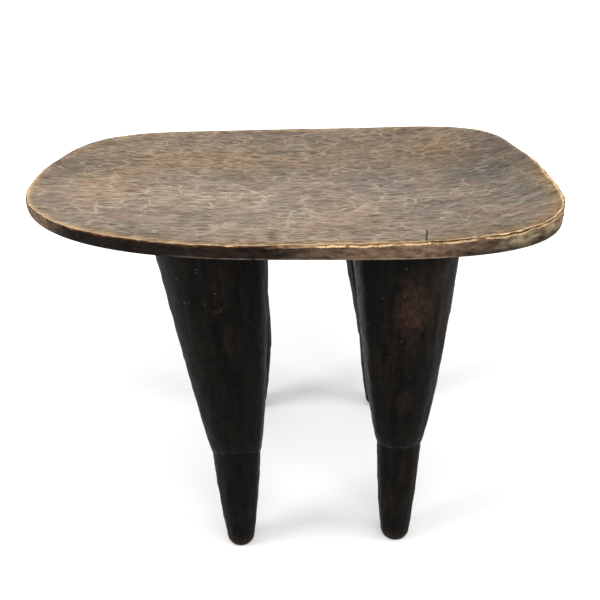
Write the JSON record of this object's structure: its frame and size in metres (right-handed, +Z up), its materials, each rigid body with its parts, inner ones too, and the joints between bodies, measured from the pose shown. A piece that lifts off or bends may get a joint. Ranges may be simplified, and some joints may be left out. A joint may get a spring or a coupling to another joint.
{
  "type": "carved wooden stool",
  "caption": "Low stool carved from a single block: wide dished seat with rounded corners on tapering legs with a knee cut.",
  "frame": {"origin": "on the floor under the middle of the seat", "axes": "+X along the seat's length, to the right seen from the front; +Y from the front to the back; +Z up"},
  "size_m": [0.56, 0.38, 0.414],
  "materials": {
    "wood": "dark stained, worn and waxed, with a paler worn seat"
  },
  "bodies": {
    "root": {"stool": "wood"}
  },
  "joints": []
}
